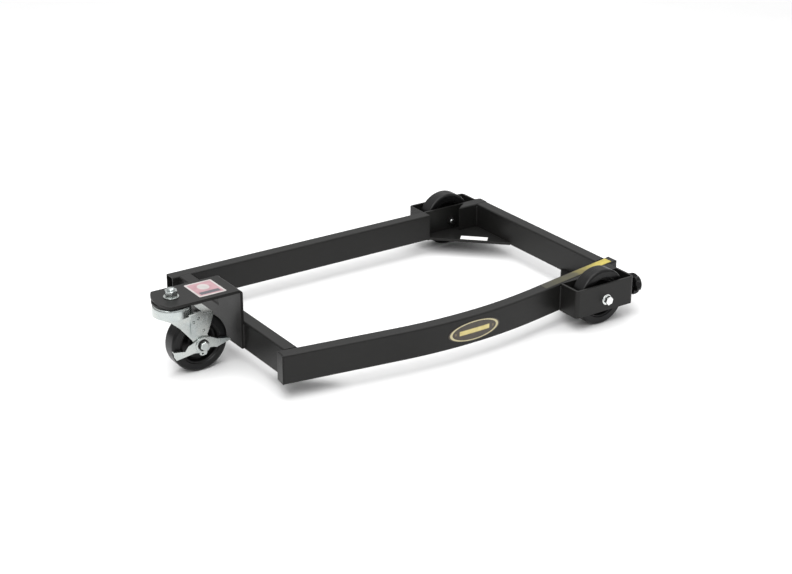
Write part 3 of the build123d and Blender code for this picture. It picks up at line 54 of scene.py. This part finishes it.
# ------------------------------------------------------------- material tools
class Nodes:
    """Small helper round one material's node tree."""

    def __init__(self, name):
        self.mat = bpy.data.materials.new(name)
        self.mat.use_nodes = True
        self.t = self.mat.node_tree
        self.t.nodes.clear()
        self.out = self.t.nodes.new("ShaderNodeOutputMaterial")
        self.b = self.t.nodes.new("ShaderNodeBsdfPrincipled")
        self.link(self.b.outputs["BSDF"], self.out.inputs["Surface"])
        self.geo = self.t.nodes.new("ShaderNodeNewGeometry")
        self.co = self.t.nodes.new("ShaderNodeTexCoord").outputs["Object"]

    def link(self, a, b):
        self.t.links.new(a, b)

    def set(self, **kw):
        for k, v in kw.items():
            self.b.inputs[k.replace("_", " ")].default_value = v

    def noise(self, scale, detail=4.0, rough=0.55, coords=None, distortion=0.0):
        n = self.t.nodes.new("ShaderNodeTexNoise")
        n.inputs["Scale"].default_value = scale
        n.inputs["Detail"].default_value = detail
        n.inputs["Roughness"].default_value = rough
        n.inputs["Distortion"].default_value = distortion
        self.link(coords or self.co, n.inputs["Vector"])
        return n.outputs["Fac"]

    def voronoi(self, scale, coords=None, feature="F1"):
        n = self.t.nodes.new("ShaderNodeTexVoronoi")
        n.feature = feature
        n.inputs["Scale"].default_value = scale
        self.link(coords or self.co, n.inputs["Vector"])
        return n.outputs["Distance"]

    def stretch(self, sx, sy, sz, move=(0, 0, 0)):
        m = self.t.nodes.new("ShaderNodeMapping")
        m.inputs["Scale"].default_value = (sx, sy, sz)
        m.inputs["Location"].default_value = move
        self.link(self.co, m.inputs["Vector"])
        return m.outputs["Vector"]

    def ramp(self, fac, stops, interp="LINEAR"):
        r = self.t.nodes.new("ShaderNodeValToRGB")
        r.color_ramp.interpolation = interp
        while len(r.color_ramp.elements) < len(stops):
            r.color_ramp.elements.new(0.5)
        for e, (p, c) in zip(r.color_ramp.elements, stops):
            e.position = p
            e.color = (*c, 1) if isinstance(c, tuple) else (c, c, c, 1)
        self.link(fac, r.inputs["Fac"])
        return r.outputs["Color"]

    def math(self, op, a, b=None, c=None, clamp=False):
        m = self.t.nodes.new("ShaderNodeMath")
        m.operation = op
        m.use_clamp = clamp
        for i, v in enumerate((a, b, c)):
            if v is None:
                continue
            if isinstance(v, (int, float)):
                m.inputs[i].default_value = v
            else:
                self.link(v, m.inputs[i])
        return m.outputs[0]

    def xyz(self, coords=None):
        s = self.t.nodes.new("ShaderNodeSeparateXYZ")
        self.link(coords or self.co, s.inputs[0])
        return s.outputs["X"], s.outputs["Y"], s.outputs["Z"]

    def mix(self, fac, a, b):
        m = self.t.nodes.new("ShaderNodeMix")
        m.data_type = "RGBA"
        for sock, v in ((m.inputs[0], fac), (m.inputs[6], a), (m.inputs[7], b)):
            if isinstance(v, (int, float)):
                sock.default_value = v
            elif isinstance(v, tuple):
                sock.default_value = (*v, 1)
            else:
                self.link(v, sock)
        return m.outputs[2]

    def span(self, v, lo, hi, soft):
        """1 where v is between lo and hi, soft at the ends."""
        def step(edge, value, up):
            mr = self.t.nodes.new("ShaderNodeMapRange")
            mr.interpolation_type = "SMOOTHSTEP"
            mr.inputs["From Min"].default_value = edge - soft
            mr.inputs["From Max"].default_value = edge + soft
            mr.inputs["To Min"].default_value = 0.0 if up else 1.0
            mr.inputs["To Max"].default_value = 1.0 if up else 0.0
            self.link(value, mr.inputs["Value"])
            return mr.outputs["Result"]
        return self.math("MULTIPLY", step(lo, v, True), step(hi, v, False))

    def map(self, v, a, b, c, d):
        mr = self.t.nodes.new("ShaderNodeMapRange")
        mr.inputs["From Min"].default_value = a
        mr.inputs["From Max"].default_value = b
        mr.inputs["To Min"].default_value = c
        mr.inputs["To Max"].default_value = d
        self.link(v, mr.inputs["Value"])
        return mr.outputs["Result"]

    def bump(self, *layers, round_edges=0.0):
        """layers are (height socket, distance in metres, strength)."""
        normal = None
        if round_edges:
            bv = self.t.nodes.new("ShaderNodeBevel")
            bv.samples = 6
            bv.inputs["Radius"].default_value = round_edges
            normal = bv.outputs["Normal"]
        for height, dist, strength in layers:
            n = self.t.nodes.new("ShaderNodeBump")
            n.inputs["Distance"].default_value = dist
            n.inputs["Strength"].default_value = strength
            self.link(height, n.inputs["Height"])
            if normal is not None:
                self.link(normal, n.inputs["Normal"])
            normal = n.outputs["Normal"]
        self.link(normal, self.b.inputs["Normal"])

    def color(self, c):
        self.link(c, self.b.inputs["Base Color"])

    def rough(self, r):
        self.link(r, self.b.inputs["Roughness"])


def powder_coat(name, tint=1.0, edge=0.0007):
    m = Nodes(name)
    broad = m.noise(9.0, 3.0)
    fine = m.noise(420.0, 2.0, 0.6)
    dust = m.noise(60.0, 5.0, 0.65)
    base = m.ramp(broad, [(0.30, (0.0062 * tint, 0.0061 * tint, 0.0058 * tint)), (0.72, (0.0098 * tint, 0.0096 * tint, 0.0090 * tint))])
    spot = m.ramp(dust, [(0.60, 0.0), (0.78, 1.0)])
    m.color(m.mix(m.math("MULTIPLY", m.map(spot, 0, 1, 0, 1), 0.22), base, (0.020, 0.0195, 0.0185)))
    m.rough(m.math("ADD", m.map(broad, 0.3, 0.7, 0.34, 0.44), m.map(fine, 0.3, 0.7, -0.02, 0.04)))
    peel = m.noise(700.0, 1.5, 0.5)
    m.bump((peel, 0.00005, 0.45), (fine, 0.00004, 0.30), round_edges=edge)
    m.set(Specular_IOR_Level=0.24)
    return m.mat


def zinc(name, base=(0.53, 0.55, 0.53), low=0.20, high=0.30, cool=(0.42, 0.46, 0.46), edge=0.0005):
    m = Nodes(name)
    cloud = m.noise(24.0, 4.0, 0.6)
    tone = m.noise(70.0, 3.0, 0.6, distortion=0.6)
    grain = m.noise(300.0, 3.0, 0.6, coords=m.stretch(1.0, 1.0, 0.12))
    c1 = m.ramp(cloud, [(0.35, base), (0.68, cool)])
    c2 = m.mix(m.math("MULTIPLY", m.map(tone, 0.5, 0.8, 0, 1), 0.18, clamp=True), c1, (0.74, 0.72, 0.62))
    m.color(c2)
    m.rough(m.math("ADD", m.map(cloud, 0.3, 0.7, low, high), m.map(grain, 0.3, 0.7, -0.03, 0.05)))
    m.bump((grain, 0.00001, 0.22), (m.noise(1200.0, 1.0), 0.00001, 0.15), round_edges=edge)
    m.set(Metallic=1.0)
    return m.mat


def moulded(name, base, rough_lo, rough_hi, coat=0.0, ring=None):
    """Moulded black plastic or hard rubber; ring=(axis x, axis y, axis z) adds
    turned rings and the mould's parting line round an axle along Y."""
    m = Nodes(name)
    cloud = m.noise(18.0, 4.0)
    fine = m.noise(900.0, 2.0)
    m.color(m.ramp(cloud, [(0.3, tuple(0.8 * v for v in base)), (0.75, tuple(1.25 * v for v in base))]))
    scuff = m.noise(140.0, 5.0, 0.7)
    m.rough(m.math("ADD", m.map(cloud, 0.3, 0.7, rough_lo, rough_hi), m.map(scuff, 0.55, 0.8, 0.0, 0.08)))
    layers = [(fine, 0.00003, 0.35)]
    if ring:
        x, y, z = m.xyz()
        dx = m.math("SUBTRACT", x, ring[0])
        dz = m.math("SUBTRACT", z, ring[2])
        r = m.math("SQRT", m.math("ADD", m.math("MULTIPLY", dx, dx), m.math("MULTIPLY", dz, dz)))
        dy = m.math("ABSOLUTE", m.math("SUBTRACT", y, ring[1]))
        seam = m.span(dy, -0.001, 0.00022, 0.00012)
        layers.append((seam, 0.00012, 0.6))
        turned = m.math("SINE", m.math("MULTIPLY", r, 5200.0))
        layers.append((turned, 0.000012, 0.5))
    m.bump(*layers, round_edges=0.0004)
    m.set(Specular_IOR_Level=0.20, Coat_Weight=coat, Coat_Roughness=0.10)
    return m.mat


def shop(name, lin, rough_lo, rough_hi, metallic, edge=0.0004):
    m = Nodes(name)
    cloud = m.noise(60.0, 4.0)
    grain = m.noise(800.0, 2.0)
    m.color(m.ramp(cloud, [(0.3, tuple(0.8 * v for v in lin)), (0.7, tuple(min(1.0, 1.15 * v) for v in lin))]))
    m.rough(m.map(cloud, 0.3, 0.7, rough_lo, rough_hi))
    m.bump((grain, 0.00004, 0.5), round_edges=edge)
    m.set(Metallic=metallic)
    return m.mat


def badge():
    m = Nodes("badge_film")
    x, y, z = m.xyz()
    u = m.math("DIVIDE", m.math("SUBTRACT", x, DX - 0.007), 0.053)
    v = m.math("DIVIDE", m.math("SUBTRACT", z, 0.0535), 0.0178)
    rad = m.math("SQRT", m.math("ADD", m.math("MULTIPLY", u, u), m.math("MULTIPLY", v, v)))
    ring = m.span(rad, 0.855, 0.945, 0.012)
    bar = m.math("MULTIPLY", m.span(v, -0.22, 0.22, 0.05), m.span(u, -0.58, 0.58, 0.02))
    dots = m.math("MAXIMUM", m.span(u, -0.76, -0.70, 0.015), m.span(u, 0.70, 0.76, 0.015))
    dots = m.math("MULTIPLY", dots, m.span(v, -0.12, 0.12, 0.04))
    cloud = m.noise(90.0, 4.0)
    ground = m.ramp(cloud, [(0.3, (0.020, 0.014, 0.007)), (0.75, (0.040, 0.028, 0.014))])
    gold = m.ramp(cloud, [(0.3, (0.50, 0.41, 0.14)), (0.75, (0.62, 0.53, 0.22))])
    pale = m.ramp(cloud, [(0.3, (0.42, 0.37, 0.20)), (0.75, (0.52, 0.47, 0.28))])
    dim = m.ramp(cloud, [(0.3, (0.10, 0.075, 0.035)), (0.75, (0.15, 0.11, 0.05))])
    c = m.mix(dots, ground, dim)
    c = m.mix(bar, c, gold)
    c = m.mix(ring, c, pale)
    m.color(c)
    m.rough(m.map(cloud, 0.3, 0.7, 0.26, 0.36))
    m.bump((m.math("MAXIMUM", ring, bar), 0.00003, 0.5), (m.noise(900.0, 2.0), 0.00002, 0.3))
    m.set(Coat_Weight=0.25, Coat_Roughness=0.15)
    return m.mat


def strip():
    m = Nodes("warning_film")
    x, y, z = m.xyz()
    # the film's colour ramps from near black at the caster end to yellow at the wheel end, with noise breaking up the
    # boundary
    along = m.map(x, DX + 0.162, DX + 0.336, 0.0, 1.0)
    cloud = m.noise(55.0, 5.0, 0.6)
    boundary_noise = m.noise(26.0, 5.0, 0.62)
    bright = m.ramp(m.math("ADD", along, m.map(boundary_noise, 0.3, 0.7, -0.08, 0.08)), [(0.0, 0.0), (0.46, 0.04), (0.62, 0.40), (0.84, 1.0)])
    dark_end_tone = m.ramp(cloud, [(0.35, (0.018, 0.017, 0.009)), (0.65, (0.040, 0.038, 0.018))])
    yellow_end_tone = m.ramp(cloud, [(0.35, (0.34, 0.27, 0.042)), (0.65, (0.52, 0.44, 0.085))])
    c = m.mix(bright, dark_end_tone, yellow_end_tone)
    m.color(c)
    m.rough(m.map(cloud, 0.3, 0.7, 0.34, 0.5))
    m.bump((m.noise(500.0, 3.0), 0.00004, 0.4))
    return m.mat


def sticker():
    m = Nodes("sticker_film")
    x, y, z = m.xyz()
    u = m.map(x, DX - 0.411, DX - 0.361, 0.0, 1.0)      # 0 at the caster end
    v = m.map(y, DY - 0.021, DY + 0.036, 0.0, 1.0)      # 0 at the near edge
    cloud = m.noise(70.0, 4.0)
    white = m.ramp(cloud, [(0.3, (0.37, 0.35, 0.34)), (0.75, (0.47, 0.44, 0.43))])
    rose = m.ramp(cloud, [(0.3, (0.31, 0.17, 0.19)), (0.75, (0.40, 0.24, 0.26))])
    slate = m.ramp(cloud, [(0.3, (0.050, 0.050, 0.062)), (0.75, (0.075, 0.075, 0.090))])
    inner = m.math("MULTIPLY", m.span(u, 0.07, 0.93, 0.01), m.span(v, 0.06, 0.94, 0.01))
    c = m.mix(inner, white, rose)
    foot = m.math("MULTIPLY", m.span(v, 0.12, 0.30, 0.01), m.span(u, 0.14, 0.86, 0.01))
    c = m.mix(foot, c, slate)
    disc = m.math("SQRT", m.math("ADD", m.math("POWER", m.math("SUBTRACT", u, 0.5), 2.0), m.math("POWER", m.math("SUBTRACT", v, 0.62), 2.0)))
    c = m.mix(m.span(disc, -1.0, 0.20, 0.012), c, white)
    m.color(c)
    m.rough(m.map(cloud, 0.3, 0.7, 0.30, 0.42))
    m.bump((m.noise(600.0, 2.0), 0.00003, 0.4))
    m.set(Coat_Weight=0.2, Coat_Roughness=0.2)
    return m.mat


def paper():
    m = Nodes("label_film")
    cloud = m.noise(120.0, 5.0)
    m.color(m.ramp(cloud, [(0.3, (0.80, 0.80, 0.78)), (0.75, (0.90, 0.90, 0.88))]))
    m.rough(m.map(cloud, 0.3, 0.7, 0.5, 0.62))
    m.bump((m.noise(900.0, 3.0), 0.00004, 0.5))
    return m.mat


MATS = {
    "frame_paint": powder_coat("frame_paint"),
    "zinc_plate": zinc("zinc_plate"),
    "bright_zinc": zinc("bright_zinc", base=(0.84, 0.85, 0.83), low=0.14, high=0.24, cool=(0.74, 0.77, 0.77)),
    "black_oxide": shop("black_oxide", (0.016, 0.016, 0.016), 0.35, 0.5, 0.6),
    "ball_steel": shop("ball_steel", (0.6, 0.6, 0.6), 0.10, 0.2, 1.0, 0.0),
    "bushing_steel": shop("bushing_steel", (0.5, 0.5, 0.48), 0.28, 0.42, 1.0, 0.0003),
    "knob_plastic": moulded("knob_plastic", (0.0036, 0.0036, 0.0036), 0.34, 0.46),
    "pad_plastic": moulded("pad_plastic", (0.012, 0.012, 0.012), 0.45, 0.6),
    "badge_film": badge(),
    "warning_film": strip(),
    "sticker_film": sticker(),
    "label_film": paper(),
}
TREAD = {
    "near": moulded("wheel_tread_near", (0.0036, 0.0036, 0.0038), 0.26, 0.36, coat=0.08, ring=(WHEEL_X, NEAR_Y, AXLE_Z)),
    "far": moulded("wheel_tread_far", (0.0036, 0.0036, 0.0038), 0.26, 0.36, coat=0.08, ring=(WHEEL_X, FAR_Y, AXLE_Z)),
    "caster": moulded("wheel_tread_caster", (0.0036, 0.0036, 0.0038), 0.26, 0.36, coat=0.08, ring=(CASTER_X, CASTER_Y, AXLE_Z)),
}
CORE = {
    "near": moulded("wheel_core_near", (0.0040, 0.0040, 0.0040), 0.30, 0.40, coat=0.06, ring=(WHEEL_X, NEAR_Y, AXLE_Z)),
    "far": moulded("wheel_core_far", (0.0040, 0.0040, 0.0040), 0.30, 0.40, coat=0.06, ring=(WHEEL_X, FAR_Y, AXLE_Z)),
    "caster": moulded("wheel_core_caster", (0.0040, 0.0040, 0.0040), 0.30, 0.40, coat=0.06, ring=(CASTER_X, CASTER_Y, AXLE_Z)),
}


def material_for(node, slot):
    which = "near" if node.startswith("near") else "far" if node.startswith("far") else "caster"
    if slot == "wheel_tread":
        return TREAD[which]
    if slot == "wheel_core":
        return CORE[which]
    return MATS[slot]


slots = {s["node"]: s["material_slot"] for s in frame["record"]["subparts"]}
for name, obj in frame["nodes"].items():
    mat = material_for(name, slots[name])
    if not obj.data.materials:
        obj.data.materials.append(mat)
    for i in range(len(obj.data.materials)):
        obj.data.materials[i] = mat


# ----------------------------------------------------------- mesh-built pieces
def mesh_object(name, bm, mat, body, smooth=True, sharp_deg=35):
    me = bpy.data.meshes.new(name)
    bmesh.ops.recalc_face_normals(bm, faces=bm.faces)
    bm.to_mesh(me)
    bm.free()
    me.materials.append(mat)
    ob = bpy.data.objects.new(name, me)
    bpy.context.scene.collection.objects.link(ob)
    if smooth:
        for p in me.polygons:
            p.use_smooth = True
        me.set_sharp_from_angle(angle=math.radians(sharp_deg))
    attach(ob, body)
    return ob


def threaded_shaft(bm, start, direction, side, length, r_out, depth, pitch, seg=40, lead=0.001, rows_per=9):
    """A screw shaft: rings of vertices whose radius follows a V thread, closed
    at both ends with a short taper."""
    up = direction.cross(side).normalized()
    n = int(length / pitch * rows_per)
    rings = []
    for i in range(n + 1):
        a = length * i / n
        fade = min(1.0, a / lead, (length - a) / lead)
        ring = []
        for j in range(seg):
            t = 2 * math.pi * j / seg
            f = (a / pitch - j / seg) % 1.0
            groove = 1.0 - abs(2 * f - 1.0)
            groove = min(1.0, max(0.0, (groove - 0.12) / 0.76))
            r = r_out - depth * (1.0 - groove) * 1.0 - (1.0 - max(fade, 0.0)) * depth * 0.9
            ring.append(bm.verts.new(start + direction * a + side * (r * math.cos(t)) + up * (r * math.sin(t))))
        rings.append(ring)
    for a, b in zip(rings, rings[1:]):
        for j in range(seg):
            k = (j + 1) % seg
            bm.faces.new((a[j], a[k], b[k], b[j]))
    for ring in (rings[0], rings[-1]):
        bm.faces.new(ring)


def revolve(bm, centre, axis, side, profile, seg=64):
    """Closed surface of revolution: profile is (distance along axis, radius)."""
    up = axis.cross(side).normalized()
    rings = []
    for a, r in profile:
        if r < 1e-6:
            rings.append([bm.verts.new(centre + axis * a)])
            continue
        rings.append(
            [
                bm.verts.new(
                    centre + axis * a
                    + side * (r * math.cos(2 * math.pi * j / seg))
                    + up * (r * math.sin(2 * math.pi * j / seg))
                )
                for j in range(seg)
            ]
        )
    for a, b in zip(rings, rings[1:]):
        for j in range(seg):
            k = (j + 1) % seg
            if len(a) == 1 and len(b) == 1:
                continue
            if len(a) == 1:
                bm.faces.new((a[0], b[k], b[j]))
            elif len(b) == 1:
                bm.faces.new((a[j], a[k], b[0]))
            else:
                bm.faces.new((a[j], a[k], b[k], b[j]))
    return rings


X, Y, Z = Vector((1, 0, 0)), Vector((0, 1, 0)), Vector((0, 0, 1))

# lock screws with real threads
for side_name, yc in (("near", NEAR_Y), ("far", FAR_Y)):
    bm = bmesh.new()
    x0 = DX + 0.3175
    # plain swivel tip
    revolve(bm, Vector((x0, yc, LOCK_Z)), X, Y, [(0, 0), (0, 0.0021), (0.0004, 0.0025), (0.0018, 0.0025), (0.0018, 0.0)], seg=32)
    threaded_shaft(bm, Vector((x0 + 0.0018, yc, LOCK_Z)), X, Y, 0.0342, 0.0047625, 0.00072, 0.0015875)
    ob = mesh_object(f"{side_name}_lock_thread", bm, MATS["bright_zinc"], f"{side_name}_lock_turner", sharp_deg=60)
    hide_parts(f"{side_name}_lock_screw")

# caster stem with its riveted head and threaded upper end
bm = bmesh.new()
centre = Vector((STEM_X, CASTER_Y, 0))
revolve(
    bm, centre, Z, X,
    [(0.1185, 0), (0.1185, 0.0098), (0.1193, 0.0110), (0.1236, 0.0110), (0.1251, 0.00635), (0.1420, 0.00635), (0.1420, 0.0)],
)
threaded_shaft(bm, Vector((STEM_X, CASTER_Y, 0.1420)), Z, X, 0.0114, 0.00635, 0.00085, 0.00195)
ob = mesh_object("threaded_stem", bm, MATS["zinc_plate"], "frame", sharp_deg=60)
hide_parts("caster_stem")


# weld beads: rippled fillets laid in the corners
def weld(bm, start, end, size, pull):
    """A bead from start to end that bulges towards pull."""
    run = end - start
    length = run.length
    d = run.normalized()
    across = d.cross(pull).normalized()
    n = max(12, int(length / 0.0006))
    seg = 14
    rings = []
    for i in range(n + 1):
        a = length * i / n
        phase = a / 0.0026
        ripple = 0.10 * math.sin(2 * math.pi * phase) + 0.05 * math.sin(2 * math.pi * phase * 0.37 + 1.3)
        endf = min(1.0, a / 0.0022, (length - a) / 0.0022)
        r = size * (0.92 + ripple) * math.sqrt(max(0.08, endf))
        ring = []
        for j in range(seg):
            t = 2 * math.pi * j / seg
            lag = 0.0009 * (1 + math.cos(t)) * 0.5
            ring.append(bm.verts.new(start + d * min(length, a + lag) + pull * (r * math.cos(t)) + across * (1.05 * r * math.sin(t))))
        rings.append(ring)
    for p, q in zip(rings, rings[1:]):
        for j in range(seg):
            k = (j + 1) % seg
            bm.faces.new((p[j], p[k], q[k], q[j]))
    bm.faces.new(rings[0])
    bm.faces.new(rings[-1])


bow_left, bow_right = -math.radians(8.8), math.radians(10.1)
bow_r, half = 0.857, 0.012
apex = Vector((-0.0033, -0.2228))
tangent = bow_r * math.tan((bow_right - bow_left) / 2)
u_l = Vector((math.cos(bow_left), math.sin(bow_left)))
u_r = Vector((math.cos(bow_right), math.sin(bow_right)))
n_l = Vector((-u_l.y, u_l.x))
n_r = Vector((-u_r.y, u_r.x))
p_l = apex - u_l * tangent
p_r = apex + u_r * tangent


def rear_y(x, off):
    b = p_r + n_r * off
    return b.y + (x - b.x) * math.tan(bow_right)


def front_y(x, off):
    a = p_l + n_l * off
    return a.y + (x - a.x) * math.tan(bow_left)


def at(x, y, z):
    return Vector((DX + x, DY + y, z))


bm = bmesh.new()
lo_z, hi_z, seat_z = 0.0325, 0.0755, 0.0355
y = rear_y(0.1965, -half)
weld(bm, at(0.1963, y - 0.0002, lo_z), at(0.1963, y - 0.0002, hi_z), 0.0024, Vector((-1, -0.7, 0)).normalized())
y = rear_y(0.3260, -half)
weld(bm, at(0.3262, y - 0.0002, lo_z), at(0.3262, y - 0.0002, hi_z), 0.0024, Vector((1, -1, 0)).normalized())
for y, s in ((-0.0315, -1), (0.0445, 1)):
    weld(bm, at(-0.3379, y, lo_z + 0.002), at(-0.3379, y, hi_z), 0.0024, Vector((-1, s, 0)).normalized())
for x, y, sx, sy in (
    (-0.3137, 0.1987, 1, -1),
    (0.3130, 0.1987, -1, -1),
    (-0.3137, front_y(-0.3137, half), 1, 1),
    (0.3130, rear_y(0.3130, half), -1, 1),
):
    weld(bm, at(x, y, seat_z), at(x, y, hi_z), 0.0022, Vector((sx, sy, 0)).normalized())
ob = mesh_object("weld_ripples", bm, MATS["frame_paint"], "frame", sharp_deg=80)
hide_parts("weld_beads")

# ------------------------------------------------------------- floor and light
bm = bmesh.new()
bmesh.ops.create_grid(bm, x_segments=48, y_segments=48, size=9.0)
me = bpy.data.meshes.new("floor")
bm.to_mesh(me)
bm.free()
floor = bpy.data.objects.new("floor", me)
bpy.context.scene.collection.objects.link(floor)
fm = Nodes("floor_white")
fcloud = fm.noise(2.0, 3.0)
fm.color(fm.ramp(fcloud, [(0.3, (0.80, 0.80, 0.80)), (0.7, (0.83, 0.83, 0.83))]))
fm.rough(fm.map(fcloud, 0.3, 0.7, 0.75, 0.85))
floor.data.materials.append(fm.mat)

world = bpy.data.worlds.new("studio")
world.use_nodes = True
wt = world.node_tree
bg = wt.nodes["Background"]
bg.inputs["Strength"].default_value = 1.0
coord = wt.nodes.new("ShaderNodeTexCoord")
split = wt.nodes.new("ShaderNodeSeparateXYZ")
wt.links.new(coord.outputs["Generated"], split.inputs[0])
sky = wt.nodes.new("ShaderNodeValToRGB")
while len(sky.color_ramp.elements) < 5:
    sky.color_ramp.elements.new(0.5)
for e, (p, c) in zip(sky.color_ramp.elements, [(0.0, 0.22), (0.10, 0.20), (0.26, 0.52), (0.40, 1.02), (0.95, 0.80)]):
    e.position = p
    e.color = (c, c, c, 1)
wt.links.new(split.outputs["Z"], sky.inputs["Fac"])
wt.links.new(sky.outputs["Color"], bg.inputs["Color"])
bpy.context.scene.world = world


def area(name, where, target, size, power, color=(1, 1, 1), size_y=None):
    data = bpy.data.lights.new(name, "AREA")
    data.energy = power
    data.color = color
    data.size = size
    if size_y:
        data.shape = "RECTANGLE"
        data.size_y = size_y
    ob = bpy.data.objects.new(name, data)
    ob.location = where
    d = Vector(target) - Vector(where)
    ob.rotation_euler = d.to_track_quat("-Z", "Y").to_euler()
    bpy.context.scene.collection.objects.link(ob)
    return ob


area("key", (-1.5, -1.4, 2.6), (0, 0, 0), 2.0, 62)
area("top", (0.2, 0.2, 3.0), (0, 0, 0), 2.8, 66)

# --------------------------------------------------------------------- camera
pitch, yaw, roll, f_px = math.radians(23.33), math.radians(34.34), math.radians(-0.19), 1663.3
fwd = Vector((math.sin(yaw) * math.cos(pitch), math.cos(yaw) * math.cos(pitch), -math.sin(pitch)))
right = Vector((math.cos(yaw), -math.sin(yaw), 0))
down = fwd.cross(right)
r2 = right * math.cos(roll) + down * math.sin(roll)
d2 = -right * math.sin(roll) + down * math.cos(roll)
cam_data = bpy.data.cameras.new("camera")
cam_data.sensor_width = 36.0
cam_data.sensor_fit = "HORIZONTAL"
cam_data.lens = f_px / 792 * 36.0
cam_data.clip_start = 0.05
cam_data.clip_end = 60
camera = bpy.data.objects.new("camera", cam_data)
rot = Matrix((r2, -d2, -fwd)).transposed().to_4x4()
camera.matrix_world = Matrix.Translation((-1.5347 + DX, -2.2266 + DY, 1.216)) @ rot
bpy.context.scene.collection.objects.link(camera)
bpy.context.scene.camera = camera
bpy.context.scene.view_settings.view_transform = "Standard"
